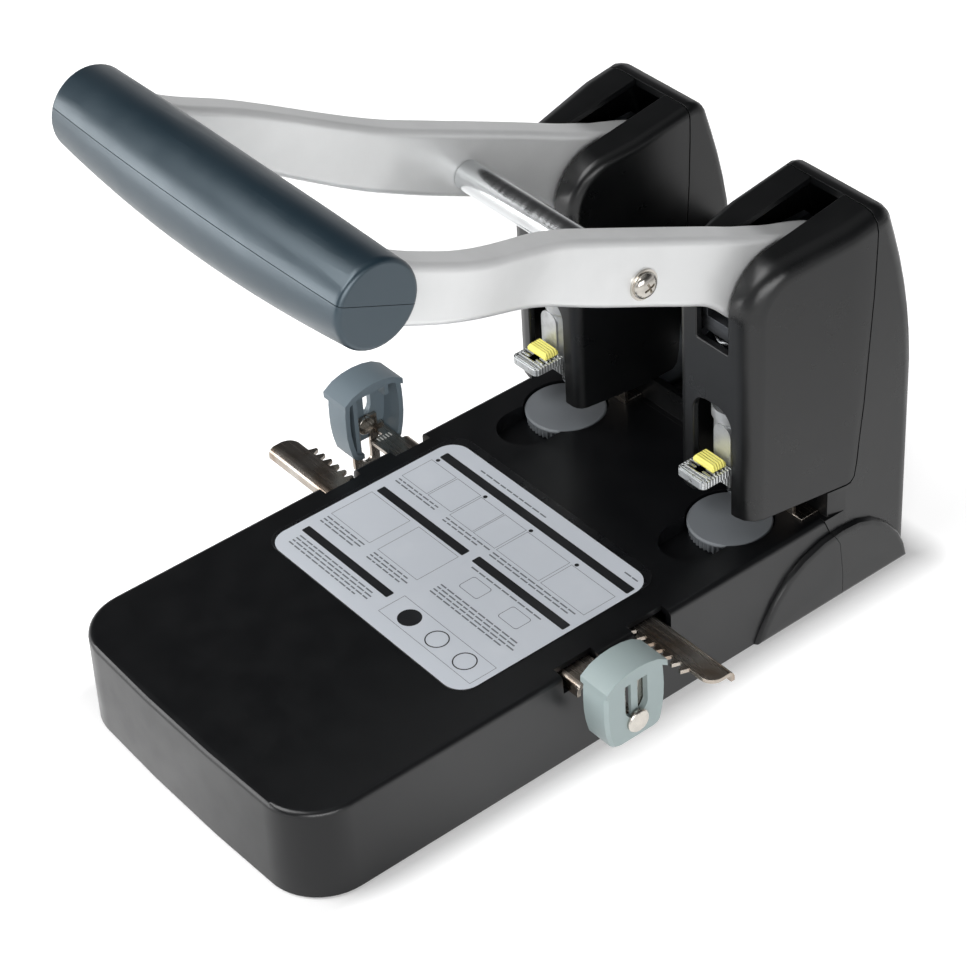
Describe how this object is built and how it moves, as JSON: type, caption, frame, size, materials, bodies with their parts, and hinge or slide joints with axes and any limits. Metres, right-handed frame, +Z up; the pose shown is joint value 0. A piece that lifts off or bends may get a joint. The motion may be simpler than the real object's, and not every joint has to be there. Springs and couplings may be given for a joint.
{
  "type": "lever paper hole punch",
  "caption": "Lever-operated heavy-duty paper hole punch with a long flat base, punch towers, cranked arms with a barrel grip, and a geared sliding paper guide.",
  "frame": {"origin": "centre of the base's footprint, on the table surface under the non-slip mat", "axes": "+X along the row of holes towards the right-hand tower, +Y from the front of the base to the towers, +Z up"},
  "size_m": [0.183, 0.245, 0.2127],
  "materials": {
    "black_satin_plastic": "satin, fine-grained",
    "plated_sheet_steel": "zinc plated, lightly worn",
    "black_rubber": "matte",
    "label_film": "printed film with dark bars and plain panels",
    "bright_steel": "polished",
    "bronze": "sintered",
    "dark_plastic": "plain",
    "silver_paint": "satin silver enamel",
    "slate_grip_plastic": "semi-gloss",
    "ram_steel": "machined",
    "die_cast_zinc": "die cast, satin",
    "yellow_plastic": "plain",
    "nylon": "natural",
    "grey_guide_plastic": "satin",
    "punch_board_plastic": "fine-grained"
  },
  "bodies": {
    "base": {"base_cover": "black_satin_plastic", "base_bottom": "plated_sheet_steel", "non_slip_mat": "black_rubber", "label_plate": "label_film", "rear_housing": "black_satin_plastic", "front_shell_left": "black_satin_plastic", "front_shell_right": "black_satin_plastic", "frame_left": "plated_sheet_steel", "frame_right": "plated_sheet_steel", "paper_stops": "plated_sheet_steel", "pivot_shafts": "bright_steel", "pivot_bushes": "bronze", "guide_tray": "dark_plastic"},
    "lever": {"lever_arm_left": "silver_paint", "lever_arm_right": "silver_paint", "grip_upper": "slate_grip_plastic", "grip_lower": "slate_grip_plastic", "grip_rod": "bright_steel", "crossbar": "bright_steel", "crossbar_screws": "bright_steel", "drive_pins": "bright_steel"},
    "ram_left": {"ram_left": "ram_steel", "punch_holder_left": "bright_steel", "hollow_punch_left": "bright_steel", "return_spring_left": "bright_steel"},
    "ram_right": {"ram_right": "ram_steel", "punch_holder_right": "bright_steel", "hollow_punch_right": "bright_steel", "return_spring_right": "bright_steel"},
    "release_left": {"release_lever_left": "die_cast_zinc"},
    "release_right": {"release_lever_right": "die_cast_zinc"},
    "button_left": {"button_left": "yellow_plastic"},
    "button_right": {"button_right": "yellow_plastic"},
    "guide_front": {"guide_plate_front": "plated_sheet_steel"},
    "guide_rear": {"guide_plate_rear": "plated_sheet_steel"},
    "pinion": {"guide_pinion": "nylon"},
    "stop_right": {"guide_stop_right": "grey_guide_plastic", "stop_rivet_right": "bright_steel"},
    "stop_left": {"guide_stop_left": "grey_guide_plastic", "stop_rivet_left": "bright_steel"},
    "dial_left": {"punch_dial_left": "punch_board_plastic"},
    "dial_right": {"punch_dial_right": "punch_board_plastic"},
    "tray": {"chip_tray": "black_satin_plastic"}
  },
  "joints": [
    {"name": "lever_swing", "type": "hinge", "parent": "base", "child": "lever", "pos_m": [0, 0.094, 0.119], "axis": [1, 0, 0], "range_deg": [0, 19.5], "stiffness_Nm_per_rad": 2, "springref_deg": -28.65},
    {"name": "ram_left_stroke", "type": "slide", "parent": "base", "child": "ram_left", "axis": [0, 0, 1], "range_m": [-0.00992, 0], "deforming": ["return_spring_left"]},
    {"name": "ram_right_stroke", "type": "slide", "parent": "base", "child": "ram_right", "axis": [0, 0, 1], "range_m": [-0.00992, 0], "deforming": ["return_spring_right"]},
    {"name": "release_left_turn", "type": "hinge", "parent": "ram_left", "child": "release_left", "pos_m": [-0.04, 0.0594, 0.054], "axis": [1, 0, 0], "range_deg": [0, 20]},
    {"name": "release_right_turn", "type": "hinge", "parent": "ram_right", "child": "release_right", "pos_m": [0.04, 0.0594, 0.054], "axis": [1, 0, 0], "range_deg": [0, 20]},
    {"name": "button_left_press", "type": "slide", "parent": "release_left", "child": "button_left", "axis": [0, -1, 0], "range_m": [0, 0.0025], "stiffness_N_per_m": 60, "springref_m": -0.001},
    {"name": "button_right_press", "type": "slide", "parent": "release_right", "child": "button_right", "axis": [0, -1, 0], "range_m": [0, 0.0025], "stiffness_N_per_m": 60, "springref_m": -0.001},
    {"name": "guide_front_slide", "type": "slide", "parent": "base", "child": "guide_front", "axis": [1, 0, 0], "range_m": [-0.006, 0.079]},
    {"name": "guide_rear_slide", "type": "slide", "parent": "base", "child": "guide_rear", "axis": [1, 0, 0], "range_m": [-0.079, 0.006]},
    {"name": "pinion_turn", "type": "hinge", "parent": "base", "child": "pinion", "pos_m": [0, -0.0025, 0.0307], "axis": [0, 0, 1], "range_deg": [-45, 525]},
    {"name": "stop_right_lift", "type": "slide", "parent": "guide_front", "child": "stop_right", "axis": [0, 0, 1], "range_m": [0, 0.0135]},
    {"name": "stop_left_lift", "type": "slide", "parent": "guide_rear", "child": "stop_left", "axis": [0, 0, 1], "range_m": [-0.0135, 0]},
    {"name": "dial_left_turn", "type": "hinge", "parent": "base", "child": "dial_left", "pos_m": [-0.04, 0.0632, 0.0308], "axis": [0, 0, 1], "continuous": true},
    {"name": "dial_right_turn", "type": "hinge", "parent": "base", "child": "dial_right", "pos_m": [0.04, 0.0632, 0.0308], "axis": [0, 0, 1], "continuous": true},
    {"name": "tray_slide", "type": "slide", "parent": "base", "child": "tray", "axis": [0, 1, 0], "range_m": [0, 0.03]}
  ],
  "couplings": [
    {"joint": "ram_left_stroke", "follows": "lever_swing", "m_per_rad": -0.029133},
    {"joint": "ram_right_stroke", "follows": "lever_swing", "m_per_rad": -0.029133},
    {"joint": "guide_rear_slide", "follows": "guide_front_slide", "ratio": -1},
    {"joint": "pinion_turn", "follows": "guide_front_slide", "rad_per_m": 114.29}
  ]
}
